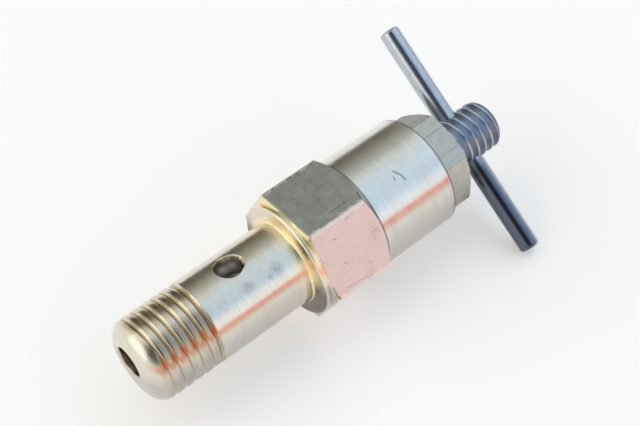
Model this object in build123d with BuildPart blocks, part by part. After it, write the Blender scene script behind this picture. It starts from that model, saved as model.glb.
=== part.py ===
from build123d import *
import math
import os

# Screw-down fuel tap: a turned body with a threaded spigot and a banjo shank, a gland nut, and a spindle
# turned by a tommy bar, which lifts a ball off its seat. Shown shut.
# X runs along the tap from the spigot to the handle. The origin is on that axis, at the middle of the outlet
# port, and Z is square to a flat of the hexagon. Turns are from Z towards Y. Millimetres.

os.makedirs("parts", exist_ok=True)

# Body, outside
spigot_d = 12.6
spigot_len = 10.8
nose_radius = 2.6
relief_d = 12.0
relief_len = 0.9
shank_d = 12.7
shank_len = 15.4
port_d = 4.0
port_turn = 4.5
port_to_collar = 8.9
shank_root = 0.45
collar_d = 17.8
collar_len = 0.9
collar_edge = 0.2
hex_af = 18.1
hex_len = 10.8
hex_cone_len = 1.4
barrel_d = 17.4
barrel_len = 13.0
rim_edge = 0.15

# Body, inside
inlet_d = 4.7
inlet_depth = 9.3
inlet_mouth = 0.25
inlet_offset = 0.9
inlet_turn = 55
drill_half_angle = 59
orifice_d = 2.8
seat_half_angle = 45
packing_floor_depth = 18.7
packing_d = 9.7
gland_thread_d = 11.1
gland_thread_depth = 10.4

# Gland nut
nut_af = 13.8
nut_hex_len = 5.0
nut_cone_len = 0.8
nut_end_d = 12.8
nut_tail_len = 8.7
nut_turn = 23.5

# Spindle and bar
stem_d = 6.0
spindle_thread_d = 7.9
thread_above_tail = 1.0
spindle_reach = 14.8
spindle_dome = 1.6
thread_lead_in = 0.95
bar_d = 3.175
bar_len = 39.0
bar_height = 9.3
bar_edge = 0.45
bar_turn = 53

# Valve ball
ball_d = 4.76
ball_below_port = 2.9
socket_lip = 0.5
socket_wall = 0.15
crimp_len = 0.6

# Packing
washer_len = 1.0
ring_count = 3
ring_len = 2.0

# Clearances, all on the radius
stem_clearance = 0.05
screw_clearance = 0.05
gland_clearance = 0.05
packing_clearance = 0.05
ball_clearance = 0.05
bar_clearance = 0.02
seat_gap = 0.1

# Stations along the tap
collar_x = port_to_collar
shank_x = collar_x - shank_len
nose_x = shank_x - spigot_len
hex_x = collar_x + collar_len
hex_end_x = hex_x + hex_len
rim_x = hex_end_x + barrel_len
packing_floor_x = rim_x - packing_floor_depth
nut_tail_x = rim_x - nut_tail_len
nut_end_x = rim_x + nut_hex_len
bar_x = rim_x + bar_height
spindle_end_x = rim_x + spindle_reach
spindle_thread_x = nut_tail_x + thread_above_tail
ball_x = -ball_below_port
stem_end_x = ball_x - socket_lip

# The inlet is drilled off the tap's axis, towards inlet_turn
inlet_angle = math.radians(inlet_turn)
inlet_centre = (inlet_offset * math.sin(inlet_angle), inlet_offset * math.cos(inlet_angle))

# The seat's cone, a little clear of the ball when the tap is shut
seat_half = math.radians(seat_half_angle)
seat_apex_x = ball_x - (ball_d / 2 + seat_gap) / math.sin(seat_half)
stem_bore_d = stem_d + 2 * stem_clearance

# The spindle's domed end is turned as two cones through the middle of a quarter circle
dome_bend = spindle_dome * (1 - math.cos(math.radians(45)))

# The ball's socket: drilled into the stem's nose, with the lip closed in past the ball's middle
drill_half = math.radians(drill_half_angle)
socket_r = ball_d / 2 + ball_clearance
lip_r = math.sqrt(socket_r**2 - socket_lip**2)
socket_apex_x = ball_x + socket_r / math.sin(drill_half)
tolerance = 1e-4

# Turned profiles are drawn in the section through the port: distance along the tap, then radius
section = Plane.XZ


def ring_edge(part, x, diameter):
    """The circular edge of that diameter which stands at x along the tap."""
    circles = part.edges().filter_by(GeomType.CIRCLE)
    return circles.filter_by(
        lambda e: abs(e.arc_center.X - x) < tolerance and abs(2 * e.radius - diameter) < tolerance
    )


def seat_x(diameter):
    """Where the seat's cone has that diameter."""
    return seat_apex_x + diameter / 2 / math.tan(seat_half)


def across_corners(across_flats):
    """Diameter over the corners of a hexagon."""
    return across_flats / math.cos(math.radians(30))


def cross_plane(x, turn):
    """Plane on the tap's axis at x that a cross hole is drilled square to."""
    return Plane(origin=(x, 0, 0), x_dir=(1, 0, 0), z_dir=Vector(0, 0, 1).rotate(Axis.X, -turn))


# Body: the hexagon with its rear corners turned off, then everything turned, then the bores
with BuildPart() as body:
    with BuildSketch(Plane.YZ.offset(hex_x)):
        RegularPolygon(radius=hex_af / 2, side_count=6, major_radius=False)
    extrude(amount=hex_len)
    with BuildSketch(section):
        with BuildLine():
            Polyline(
                (hex_x, 0),
                (hex_x, across_corners(hex_af) / 2),
                (hex_end_x - hex_cone_len, across_corners(hex_af) / 2),
                (hex_end_x, barrel_d / 2),
                (hex_end_x, 0),
                close=True,
            )
        make_face()
    revolve(axis=Axis.X, mode=Mode.INTERSECT)
    with BuildSketch(section):
        with BuildLine():
            Polyline(
                (nose_x, 0),
                (nose_x, spigot_d / 2),
                (shank_x - relief_len, spigot_d / 2),
                (shank_x - relief_len, relief_d / 2),
                (shank_x, relief_d / 2),
                (shank_x, shank_d / 2),
                (collar_x, shank_d / 2),
                (collar_x, collar_d / 2),
                (hex_x, collar_d / 2),
                (hex_x, barrel_d / 2),
                (rim_x, barrel_d / 2),
                (rim_x, 0),
                close=True,
            )
        make_face()
    revolve(axis=Axis.X)
    fillet(ring_edge(body, nose_x, spigot_d), radius=nose_radius)
    chamfer(ring_edge(body, collar_x, shank_d), length=shank_root)
    chamfer(ring_edge(body, collar_x, collar_d), length=collar_edge)
    chamfer(ring_edge(body, rim_x, barrel_d), length=rim_edge)
    with BuildSketch(section):
        with BuildLine():
            Polyline(
                (nose_x + inlet_depth, 0),
                (nose_x + inlet_depth, orifice_d / 2),
                (seat_x(orifice_d), orifice_d / 2),
                (seat_x(stem_bore_d), stem_bore_d / 2),
                (packing_floor_x, stem_bore_d / 2),
                (packing_floor_x, packing_d / 2),
                (rim_x - gland_thread_depth, packing_d / 2),
                (rim_x - gland_thread_depth, gland_thread_d / 2),
                (rim_x, gland_thread_d / 2),
                (rim_x, 0),
                close=True,
            )
        make_face()
    revolve(axis=Axis.X, mode=Mode.SUBTRACT)
    with BuildSketch(Plane.YZ.offset(nose_x)):
        with Locations(inlet_centre):
            Circle(inlet_d / 2)
    extrude(amount=inlet_depth, mode=Mode.SUBTRACT)
    chamfer(ring_edge(body, nose_x, inlet_d), length=inlet_mouth)
    with BuildSketch(cross_plane(0, port_turn)):
        Circle(port_d / 2)
    extrude(amount=shank_d, mode=Mode.SUBTRACT)
body.part.label = "body"
export_step(body.part, "parts/body.step")

# Gland nut: hexagon on the barrel's rim, threaded tail inside it, bored for the spindle's thread
with BuildPart() as gland_nut:
    with BuildSketch(Plane.YZ.offset(rim_x)):
        RegularPolygon(radius=nut_af / 2, side_count=6, major_radius=False, rotation=nut_turn)
    extrude(amount=nut_hex_len)
    with BuildSketch(section):
        with BuildLine():
            Polyline(
                (rim_x, 0),
                (rim_x, across_corners(nut_af) / 2),
                (nut_end_x - nut_cone_len, across_corners(nut_af) / 2),
                (nut_end_x, nut_end_d / 2),
                (nut_end_x, 0),
                close=True,
            )
        make_face()
    revolve(axis=Axis.X, mode=Mode.INTERSECT)
    tail_d = gland_thread_d - 2 * gland_clearance
    with BuildSketch(Plane.YZ.offset(nut_tail_x)):
        Circle(tail_d / 2)
    extrude(amount=nut_tail_len)
    with BuildSketch(Plane.YZ.offset(nut_tail_x)):
        Circle(spindle_thread_d / 2 + screw_clearance)
    extrude(amount=nut_tail_len + nut_hex_len, mode=Mode.SUBTRACT)
gland_nut.part.label = "gland_nut"
export_step(gland_nut.part, "parts/gland_nut.step")

# Spindle: stem with the ball's socket at its nose, thread above it, cross-drilled for the bar
bar_plane = cross_plane(bar_x, bar_turn)
with BuildPart() as spindle:
    with BuildSketch(section):
        with BuildLine():
            Polyline(
                (stem_end_x, 0),
                (stem_end_x, lip_r + socket_wall),
                (stem_end_x + crimp_len, stem_d / 2),
                (spindle_thread_x, stem_d / 2),
                (spindle_thread_x + thread_lead_in, spindle_thread_d / 2),
                (spindle_end_x - spindle_dome, spindle_thread_d / 2),
                (spindle_end_x - dome_bend, spindle_thread_d / 2 - dome_bend),
                (spindle_end_x, spindle_thread_d / 2 - spindle_dome),
                (spindle_end_x, 0),
                close=True,
            )
        make_face()
    revolve(axis=Axis.X)
    with BuildSketch(section):
        with BuildLine():
            Polyline(
                (stem_end_x, 0),
                (stem_end_x, lip_r),
                (ball_x, socket_r),
                (socket_apex_x - socket_r / math.tan(drill_half), socket_r),
                (socket_apex_x, 0),
                close=True,
            )
        make_face()
    revolve(axis=Axis.X, mode=Mode.SUBTRACT)
    with BuildSketch(bar_plane):
        Circle(bar_d / 2 + bar_clearance)
    extrude(amount=spindle_thread_d, both=True, mode=Mode.SUBTRACT)
spindle.part.label = "spindle"
export_step(spindle.part, "parts/spindle.step")

# Tommy bar: plain rod with its ends chamfered
with BuildPart() as tommy_bar:
    with BuildSketch(bar_plane):
        Circle(bar_d / 2)
    extrude(amount=bar_len / 2, both=True)
    chamfer(tommy_bar.edges().filter_by(GeomType.CIRCLE), length=bar_edge)
tommy_bar.part.label = "tommy_bar"
export_step(tommy_bar.part, "parts/tommy_bar.step")

# Valve ball
with BuildPart() as valve_ball:
    with Locations((ball_x, 0, 0)):
        Sphere(ball_d / 2)
valve_ball.part.label = "valve_ball"
export_step(valve_ball.part, "parts/valve_ball.step")


def packing_sleeve(x, length, name):
    """A plain sleeve round the stem in the packing chamber, from x on."""
    with BuildPart() as sleeve:
        with BuildSketch(Plane.YZ.offset(x)):
            Circle(packing_d / 2 - packing_clearance)
            Circle(stem_bore_d / 2, mode=Mode.SUBTRACT)
        extrude(amount=length)
    sleeve.part.label = name
    export_step(sleeve.part, f"parts/{name}.step")


# Packing: washer on the chamber's floor, soft rings, and the follower up to the nut's tail
rings_x = packing_floor_x + washer_len
follower_x = rings_x + ring_count * ring_len
packing_sleeve(packing_floor_x, washer_len, "packing_washer")
for index in range(ring_count):
    packing_sleeve(rings_x + index * ring_len, ring_len, f"packing_ring_{index + 1}")
packing_sleeve(follower_x, nut_tail_x - follower_x, "packing_follower")
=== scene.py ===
"""Fuel tap: the looks of its pieces and a small studio.

Laid out as an add-on and run as a script. Every piece is in metres, in the frame of the solids: X runs along
the tap from the spigot to the handle, and the origin is at the middle of the outlet port.
"""
import math

import bpy
import numpy as np
from bpy.props import FloatProperty, FloatVectorProperty, PointerProperty
from mathutils import Matrix, Vector


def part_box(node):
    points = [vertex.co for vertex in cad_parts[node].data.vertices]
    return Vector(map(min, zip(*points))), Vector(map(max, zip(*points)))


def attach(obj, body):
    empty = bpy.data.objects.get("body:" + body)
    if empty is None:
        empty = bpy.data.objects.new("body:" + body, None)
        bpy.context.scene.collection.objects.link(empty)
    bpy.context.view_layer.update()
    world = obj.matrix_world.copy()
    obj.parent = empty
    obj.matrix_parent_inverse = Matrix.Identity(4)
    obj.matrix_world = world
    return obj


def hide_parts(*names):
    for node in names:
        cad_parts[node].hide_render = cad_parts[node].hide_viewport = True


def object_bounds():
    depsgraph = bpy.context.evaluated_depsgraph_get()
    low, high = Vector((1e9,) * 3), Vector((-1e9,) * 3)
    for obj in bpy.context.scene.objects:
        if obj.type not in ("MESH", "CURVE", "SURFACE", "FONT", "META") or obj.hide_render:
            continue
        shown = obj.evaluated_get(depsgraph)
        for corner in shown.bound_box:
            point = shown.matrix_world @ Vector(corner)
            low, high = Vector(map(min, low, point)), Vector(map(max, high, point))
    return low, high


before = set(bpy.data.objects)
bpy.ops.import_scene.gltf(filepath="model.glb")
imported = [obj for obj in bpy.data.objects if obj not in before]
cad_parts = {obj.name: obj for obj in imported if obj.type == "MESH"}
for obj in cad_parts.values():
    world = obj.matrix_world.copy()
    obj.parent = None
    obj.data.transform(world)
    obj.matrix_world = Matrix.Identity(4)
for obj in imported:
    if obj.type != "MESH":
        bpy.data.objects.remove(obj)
CAD_BOX = [list(corner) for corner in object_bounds()]

bl_info = {
    "name": "Fuel tap",
    "version": (1, 0, 0),
    "blender": (4, 5, 0),
    "location": "3D View > Sidebar > Fuel tap",
    "description": "Builds the surfaces and finishes of a screw-down fuel tap",
    "category": "Add Mesh",
}

MM = 0.001
FLOOR_Z = CAD_BOX[0][2]

# A hexagon's sector, how strongly points crowd towards its corners, and the edges that stay sharp
SECTOR = math.pi / 3
HALF_SECTOR = math.pi / 6
CROWDING = 0.88
SHARP_EDGE = math.radians(35)

# Rates and phases of the sines in an uneven wave
RIPPLE = ((2.1, 0.0), (5.3, 1.3), (11.7, 0.4))

# Threads in step with the photograph: phase in turns, power of the wave, rows to a pitch
SPIGOT_PHASE = 0.8
SPIGOT_CREST = 3.5
SPIGOT_ROWS = 28
SPINDLE_PHASE = 0.13
SPINDLE_CREST = 0.3
SPINDLE_ROWS = 24
NUT_BORE_ROWS = 10

# The worn side of the spigot's thread, and its run-out: start and end as shares of the groove, and rows
SPIGOT_WORN_TURN = math.radians(215)
SPIGOT_WORN_SHARE = 0.4
RUN_OUT = (0.08, 0.96, 14)

# The body's hexagon: rows along it, front lip and bevel, the wear's wave and its shift between corners
HEX_ROWS = 48
HEX_LIP = 0.2 * MM
HEX_BEVEL = 0.3 * HEX_LIP
WEAR_STEP = 0.8 * MM
WEAR_SHIFT = 3 * MM

# Faces that count as flats, by their slope along the axis, and as the front bevel, by slope and place
FLAT_SLOPE = 0.3
BEVEL_SLOPE = 0.95
BEVEL_LEN = 0.25 * MM

# The port's burr: place and half width round the port, mean and wave in port edges, and the wave's step.
# Then how deep the flare goes, in its own widths, and how far the cutter goes past the shank
BURR_TURN = math.radians(-25)
BURR_HALF = 0.45
BURR_MEAN = 2.4
BURR_WAVE = 2.2
BURR_STEP = 0.2
FLARE_DEPTH = 1.5
CUT_PAST = 1.0 * MM

# The nut: lean of each flat's outer strips, the seams between strips, the wavy line where the end's cone
# stops, and the edge of its end face
NUT_LEAN_DEG = (1.0, 4.0, 1.5, 0.5, 1.0, 0.5)
NUT_STRIP_DEG = 14.6
NUT_STRIP = math.radians(NUT_STRIP_DEG)
NUT_SEAM = 0.03 * MM
NUT_SEAM_HALF = math.radians(0.9)
NUT_SEAM_SPAN = math.radians(1.8)
NUT_CONE_LEAST = 0.15
NUT_WAVE = 0.08 * MM
NUT_WAVE_STEP = 0.12
NUT_END_EDGE = 0.1 * MM
NUT_END_FLAT = 0.3 * MM

# Radius of the face that closes a rod's end, and how far the bar's hole is cut, in spindle radii
END_DISC = 0.3 * MM
HOLE_REACH = 1.5

# Places read from the solids
BODY_LOW, BODY_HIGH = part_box("body")
NUT_LOW, NUT_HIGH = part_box("gland_nut")
SPINDLE_LOW, SPINDLE_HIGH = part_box("spindle")
BAR_LOW, BAR_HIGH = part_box("tommy_bar")
NOSE_X, RIM_X = BODY_LOW.x, BODY_HIGH.x
HEX_AF = BODY_HIGH.z - BODY_LOW.z
NUT_TAIL_X, NUT_END_X = NUT_LOW.x, NUT_HIGH.x
STEM_END_X, SPINDLE_END_X = SPINDLE_LOW.x, SPINDLE_HIGH.x
SPINDLE_R = SPINDLE_HIGH.z
BAR_X = (BAR_LOW.x + BAR_HIGH.x) / 2
BAR_R = (BAR_HIGH.x - BAR_LOW.x) / 2


def length(label, text, millimetres):
    """A length property in metres, with its default given in millimetres."""
    return FloatProperty(name=label, description=text, default=millimetres * MM, unit="LENGTH", precision=5)


def angle(label, text, degrees):
    """An angle property, with its default given in degrees."""
    return FloatProperty(name=label, description=text, default=math.radians(degrees), subtype="ANGLE")


def colour(label, text, value):
    """A colour property, scene linear."""
    return FloatVectorProperty(
        name=label, description=text, default=value, size=3, min=0, max=1, subtype="COLOR"
    )


class TapSizes(bpy.types.PropertyGroup):
    """Sizes of the tap that the boxes of the solids don't give."""

    spigot_r: length("Spigot radius", "Over the crests of the spigot's thread", 6.3)
    spigot_pitch: length("Spigot pitch", "Pitch of the spigot's thread", 1.5875)
    spigot_depth: length("Spigot thread", "Depth of the spigot's worn thread", 0.32)
    nose_radius: length("Nose radius", "Rounding of the spigot's end", 2.6)
    relief_r: length("Relief radius", "Groove behind the spigot's thread", 6.0)
    relief_len: length("Relief length", "Length of that groove", 0.9)
    shank_r: length("Shank radius", "Plain part that the union sits on", 6.35)
    shank_x: length("Shank start", "Where the plain part starts", -6.5)
    shank_root: length("Shank root", "Rounding between the shank and the collar", 0.45)
    collar_x: length("Collar face", "Where the collar's seat is", 8.9)
    collar_r: length("Collar radius", "Radius of the collar", 8.9)
    collar_edge: length("Collar edge", "Rounding of the collar's rim", 0.4)
    hex_x: length("Hexagon start", "Front face of the hexagon", 9.8)
    hex_end_x: length("Hexagon end", "Where its rear cone meets the barrel", 20.6)
    hex_cone_len: length("Hexagon cone", "Length of the cone turned on its rear corners", 1.4)
    hex_edge: length("Hexagon edge", "Rounding of its corners", 0.45)
    hex_wear: FloatProperty(
        name="Hexagon wear", description="How uneven that rounding is", default=0.8, subtype="FACTOR"
    )
    barrel_r: length("Barrel radius", "Radius of the barrel", 8.7)
    rim_edge: length("Rim edge", "Rounding of the barrel's rim", 0.15)
    gland_r: length("Gland bore", "Radius of the bore that the nut screws into", 5.55)
    gland_depth: length("Gland depth", "Depth of that bore", 10.4)
    packing_r: length("Packing bore", "Radius of the packing chamber", 4.85)
    packing_depth: length("Packing depth", "Floor of the packing chamber, from the rim", 18.7)
    stem_bore_r: length("Stem bore", "Radius of the bore round the stem", 3.05)
    seat_x: length("Seat mouth", "Where the seat's cone meets the stem's bore", -3.39)
    orifice_r: length("Orifice", "Radius of the hole that the ball closes", 1.4)
    orifice_x: length("Orifice mouth", "Where the seat's cone meets the orifice", -5.04)
    inlet_r: length("Inlet", "Radius of the inlet bore", 2.35)
    inlet_depth: length("Inlet depth", "Depth of the inlet bore", 9.3)
    inlet_mouth: length("Inlet mouth", "Rounding at the mouth of the inlet", 0.25)
    inlet_offset: length("Inlet offset", "How far the inlet is drilled off the axis", 0.9)
    inlet_turn: angle("Inlet turn", "Side to which it is drilled off, from +Z towards +Y", 55.0)
    port_r: length("Port", "Radius of the outlet port", 2.0)
    port_turn: angle("Port turn", "Turn of the port from +Z towards +Y", 4.5)
    port_edge: length("Port edge", "Chamfer round the port's mouth", 0.12)
    nut_af: length("Nut flats", "Gland nut across its flats", 13.8)
    nut_cone_len: length("Nut cone", "Length of the cone on the nut's end", 0.8)
    nut_end_r: length("Nut end", "Radius of the nut's end face", 6.4)
    nut_tail_r: length("Nut tail", "Radius of the nut's threaded tail", 5.5)
    nut_edge: length("Nut edge", "Rounding of the nut's corners", 0.14)
    nut_turn: angle("Nut turn", "How far the nut is turned against the body", 23.5)
    screw_gap: length("Screw gap", "Gap between the spindle's thread and the nut's", 0.05)
    spindle_pitch: length("Spindle pitch", "Pitch of the spindle's thread", 25.4 / 18)
    spindle_thread_x: length("Spindle thread", "Where the spindle's thread starts", 25.9)
    spindle_depth: length("Spindle thread depth", "Depth of the spindle's worn thread", 0.2)
    spindle_dome: length("Spindle end", "Rounding of the spindle's end", 1.6)
    stem_r: length("Stem radius", "Smooth stem below the thread", 3.0)
    crimp_r: length("Socket lip", "Radius of the stem's nose, closed in round the ball", 2.5)
    crimp_len: length("Socket lip length", "Length over which it is closed in", 0.6)
    bar_len: length("Bar length", "Length of the tommy bar", 39.0)
    bar_edge: length("Bar edge", "Rounding of the bar's ends", 0.45)
    bar_gap: length("Bar gap", "Gap between the bar and its hole", 0.02)
    bar_turn: angle("Bar turn", "Turn of the bar from +Z towards +Y", 53.0)


class TapColours(bpy.types.PropertyGroup):
    """Colours of the finishes and of the studio, scene linear."""

    brass: colour("Brass", "Turned brass", (0.80, 0.75, 0.65))
    brass_cool: colour("Brass, cool", "Turned brass of the barrel", (0.80, 0.78, 0.72))
    brass_dark: colour("Brass, dulled", "Brass between the turning lines and in stains", (0.50, 0.44, 0.32))
    brass_gold: colour("Brass, golden", "Brass on the thread's flanks", (0.80, 0.67, 0.44))
    worn_edge: colour("Worn edges", "Corners rubbed bright", (0.93, 0.78, 0.64))
    # Painted golden reflection at the collar's root, and painted highlight on the collar's upper rim
    brass_root_reflection: colour("Brass, root reflection", "Brass at the collar's root", (0.97, 0.82, 0.52))
    brass_groove: colour("Brass, groove", "Brass deep in the spigot's thread", (0.40, 0.32, 0.21))
    # Painted shade: the brass and its thread darker towards the underside
    brass_shade_below: colour("Brass, painted shade below", "Brass on the underside", (0.54, 0.51, 0.46))
    thread_shade_below: colour("Thread, painted shade below", "Underside of the spigot's thread", (0.42, 0.38, 0.33))
    # Painted reflections on the spigot's thread: warm on its near side, dark ovals, red patches
    thread_warm_reflection: colour("Thread, warm reflection", "Near side of the spigot's thread", (0.36, 0.285, 0.195))
    # Painted red reflection on the spigot's thread
    thread_red_reflection: colour("Thread, red reflection", "Patches of painted red reflection on the spigot's thread", (0.54, 0.19, 0.075))
    # Painted shade on the collar's lower seat and on the hexagon's rear cone
    seat_and_cone_shade: colour("Seat and cone shade", "Painted shade on the collar's lower seat and on the rear cone", (0.165, 0.13, 0.125))
    smudge: colour("Smudges", "Grey specks on the shank", (0.20, 0.23, 0.25))
    bore: colour("Bores", "Unlit brass inside the bores", (0.48, 0.39, 0.30))
    # Also painted shade next to the barrel's rim and at the hexagon's front corner
    grime_and_shade: colour("Grime and shade", "Dark specks, nicks, scratches and painted shade", (0.035, 0.033, 0.03))
    bar_stock: colour("Drawn brass", "Hexagon as drawn", (0.84, 0.795, 0.755))
    bar_stock_dark: colour("Drawn brass, dark", "Darker streaks of the hexagon", (0.56, 0.57, 0.54))
    bar_stock_warm: colour("Drawn brass, warm", "Coppery blotches of the hexagon", (0.88, 0.70, 0.64))
    bar_stock_dull: colour("Drawn brass, dull", "Flat of the hexagon that has dulled", (0.44, 0.45, 0.41))
    nut_stock: colour("Nut brass", "Gland nut", (0.56, 0.55, 0.49))
    nut_stock_dark: colour("Nut brass, dark", "Darker streaks of the nut", (0.38, 0.37, 0.34))
    nut_stock_warm: colour("Nut brass, warm", "Warmer blotches of the nut", (0.58, 0.55, 0.46))
    nut_stock_dull: colour("Nut brass, dull", "Flat of the nut that has dulled", (0.40, 0.40, 0.36))
    steel: colour("Steel", "Bar and stem", (0.56, 0.605, 0.65))
    steel_dark: colour("Steel, dark", "Dark streaks on the steel", (0.22, 0.27, 0.35))
    steel_black: colour("Steel, black", "Grooves of the spindle's thread", (0.185, 0.235, 0.315))
    # Painted shade on one side of the spindle's thread; its end darker too
    steel_dark_end_and_shade: colour("Steel, dark end and shade", "End and underside of the spindle", (0.10, 0.12, 0.16))
    steel_rubbed: colour("Steel, rubbed", "Crests of the spindle's thread", (0.52, 0.58, 0.67))
    # Painted shade on the bar's lower half
    steel_lower_shade: colour("Steel, painted shade", "Lower half of the bar", (0.085, 0.105, 0.15))
    packing: colour("Packing", "Soft packing", (0.03, 0.03, 0.03))
    floor: colour("Floor", "Pale floor", (0.93, 0.91, 0.89))


# Surfaces


def even_angles(count):
    """Evenly spaced angles round the axis."""
    return np.linspace(0, 2 * math.pi, count, endpoint=False)


def corner_angles(per_sector, turn):
    """Angles round the axis, crowded towards the six corners of a hexagon that is turned by that angle.
    In each sector the offset from the corner is 30 degrees times a mix of s^3 and s, with s from -1 to 1."""
    s = np.linspace(-1, 1, per_sector, endpoint=False)
    offset = HALF_SECTOR * (CROWDING * s**3 + (1 - CROWDING) * s)
    corners = SECTOR * np.arange(6)[:, None]
    return (corners + offset).ravel() + turn


def corner_radius(across_flats):
    """Radius over the sharp corners of a hexagon."""
    return across_flats / 2 / math.cos(HALF_SECTOR)


def hex_radius(theta, across_flats, turn, edge):
    """Polar radius of a hexagon whose corners are rounded by edge.
    On a flat it is half the width over flats divided by cos of the angle from the flat's normal. Near a
    corner it is where the ray leaves a circle of radius edge that touches both flats."""
    delta = (theta - turn + HALF_SECTOR) % SECTOR - HALF_SECTOR
    flat = across_flats / 2 / np.cos(HALF_SECTOR - np.abs(delta))
    centre = (across_flats / 2 - edge) / math.cos(HALF_SECTOR)
    inside = np.maximum(edge**2 - (centre * np.sin(delta)) ** 2, 0)
    rounded = centre * np.cos(delta) + np.sqrt(inside)
    touch = np.arctan2(edge * math.sin(HALF_SECTOR), centre + edge * math.cos(HALF_SECTOR))
    return np.where(np.abs(delta) < touch, rounded, flat)


def thread_depth(x, theta, pitch, depth, power, phase):
    """Depth of a worn right-hand thread below its crest, at x along the axis and theta round it.
    Over one pitch it is the depth times ((1 - cos) / 2) to that power: under 1 for narrow crests."""
    turn = x / pitch - theta / (2 * math.pi) - phase
    return depth * ((1 - np.cos(2 * math.pi * turn)) / 2) ** power


def ripple(t, step):
    """Uneven wave between -1 and 1 along t: the mean of three sines whose periods share no multiple."""
    return sum(np.sin(rate * t / step + phase) for rate, phase in RIPPLE) / len(RIPPLE)


def line(x0, r0, x1, r1, count):
    """count points from one profile point towards the next, without the last one."""
    t = np.linspace(0, 1, count, endpoint=False)
    return x0 + (x1 - x0) * t, r0 + (r1 - r0) * t


def arc(x, r, radius, start, end, count):
    """count points on an arc round (x, r), from the angle start towards end in degrees, without the last
    one. The angle is 0 along +x and 90 along +r."""
    a = np.radians(np.linspace(start, end, count, endpoint=False))
    return x + radius * np.cos(a), r + radius * np.sin(a)


def spread(values, columns):
    """A column of profile values, or a grid of them, as a grid with that many columns."""
    values = np.asarray(values)
    rows = values[:, None] if values.ndim == 1 else values
    return np.broadcast_to(rows, (len(values), columns))


def lathe(x, r, theta):
    """Points (x, r cos theta, r sin theta) of a surface round the X axis."""
    return np.stack([x, r * np.cos(theta), r * np.sin(theta)], axis=-1)


def turned(blocks, theta):
    """Points of profile blocks turned round the X axis, with a row for each profile point and a column for
    each angle. A block is x and r, each a column of profile values or a whole grid."""
    grids = [[spread(values, len(theta)) for values in block] for block in blocks]
    x, r = (np.concatenate(parts) for parts in zip(*grids))
    return lathe(x, r, theta)


def turned_to(points, centre, direction):
    """Points worked out along X, carried to centre with X turned to that direction."""
    turn = Vector((1, 0, 0)).rotation_difference(Vector(direction)).to_matrix()
    return points @ np.array(turn).T + np.array(centre)


def add_piece(name, mesh):
    """A new object at the origin with that mesh."""
    piece = bpy.data.objects.new(name, mesh)
    bpy.context.scene.collection.objects.link(piece)
    return piece


def add_surface(name, points, ring):
    """A new object whose mesh is a grid of points that closes round its columns. ring also joins the last
    row to the first, as on a piece with a bore. Otherwise a flat face closes each of those two rows."""
    rows, columns = points.shape[:2]
    index = np.arange(rows * columns).reshape(rows, columns)
    here = index if ring else index[:-1]
    above = np.roll(index, -1, axis=0) if ring else index[1:]
    quads = np.stack([here, np.roll(here, -1, axis=1), np.roll(above, -1, axis=1), above], axis=-1)
    faces = quads.reshape(-1, 4).tolist()
    if not ring:
        faces += [index[0][::-1].tolist(), index[-1].tolist()]
    mesh = bpy.data.meshes.new(name)
    mesh.from_pydata(points.reshape(-1, 3).tolist(), [], faces)
    mesh.validate()
    return add_piece(name, mesh)


def cut(piece, points):
    """Takes the shape of a closed grid of points out of a piece, and leaves the result as its own mesh."""
    cutter = add_surface("cutter", points, ring=False)
    tool = piece.modifiers.new("cut", "BOOLEAN")
    tool.operation = "DIFFERENCE"
    tool.solver = "EXACT"
    tool.object = cutter
    bpy.context.view_layer.update()
    shape = bpy.data.meshes.new_from_object(piece.evaluated_get(bpy.context.evaluated_depsgraph_get()))
    piece.modifiers.clear()
    piece.data = shape
    bpy.data.objects.remove(cutter)


def smooth(piece):
    """Smooth shading, with the sharper edges kept."""
    piece.data.polygons.foreach_set("use_smooth", np.ones(len(piece.data.polygons), bool))
    piece.data.set_sharp_from_angle(angle=SHARP_EDGE)


def mark_flats(piece, s):
    """Gives the faces of the hexagon's flats and of their front bevel the second material."""
    faces = piece.data.polygons
    centre = np.empty(len(faces) * 3)
    normal = np.empty(len(faces) * 3)
    faces.foreach_get("center", centre)
    faces.foreach_get("normal", normal)
    x, y, z = centre.reshape(-1, 3).T
    slope = np.abs(normal[::3])
    bevel = (x < s.hex_x + BEVEL_LEN) & (slope < BEVEL_SLOPE)
    on_hexagon = (x > s.hex_x) & (x < s.hex_end_x) & (np.hypot(y, z) > s.barrel_r)
    faces.foreach_set("material_index", (on_hexagon & ((slope < FLAT_SLOPE) | bevel)).astype(np.int32))


def settle(piece, body, node):
    """The piece rides on that body and stands for that node of the solids."""
    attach(piece, body)
    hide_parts(node)


# Pieces


def spigot_rows(s, theta):
    """Rows of the spigot: rounded nose, thread and run-out.
    The radius is the outline's, a quarter circle and then a cylinder, or the spigot's less the thread's depth
    where that is smaller. On the side it lay on, the thread is worn by a share times ((1 + cos) / 2) squared.
    Behind it the radius eases from the thread's to the shank's, less a dip of sin squared."""
    bend = s.nose_radius
    nose_x, nose_r = arc(NOSE_X + bend, s.spigot_r - bend, bend, 180, 90, 40)
    relief_x = s.shank_x - s.relief_len
    thread_x = np.arange(NOSE_X + bend, relief_x, s.spigot_pitch / SPIGOT_ROWS)
    x = np.concatenate([nose_x, thread_x])
    outline = np.concatenate([nose_r, np.full(len(thread_x), s.spigot_r)])
    depth = thread_depth(x[:, None], theta, s.spigot_pitch, s.spigot_depth, SPIGOT_CREST, SPIGOT_PHASE)
    depth = depth * (1 - SPIGOT_WORN_SHARE * ((1 + np.cos(theta - SPIGOT_WORN_TURN)) / 2) ** 2)
    spigot = np.minimum(outline[:, None], s.spigot_r - depth)
    run = np.linspace(*RUN_OUT)[:, None]
    rise = run**2 * (3 - 2 * run)
    dip = (s.shank_r - s.relief_r) * np.sin(math.pi * run) ** 2
    run_out = spigot[-1] * (1 - rise) + s.shank_r * rise - dip
    return [(x, spigot), (relief_x + s.relief_len * run, run_out)]


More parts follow.
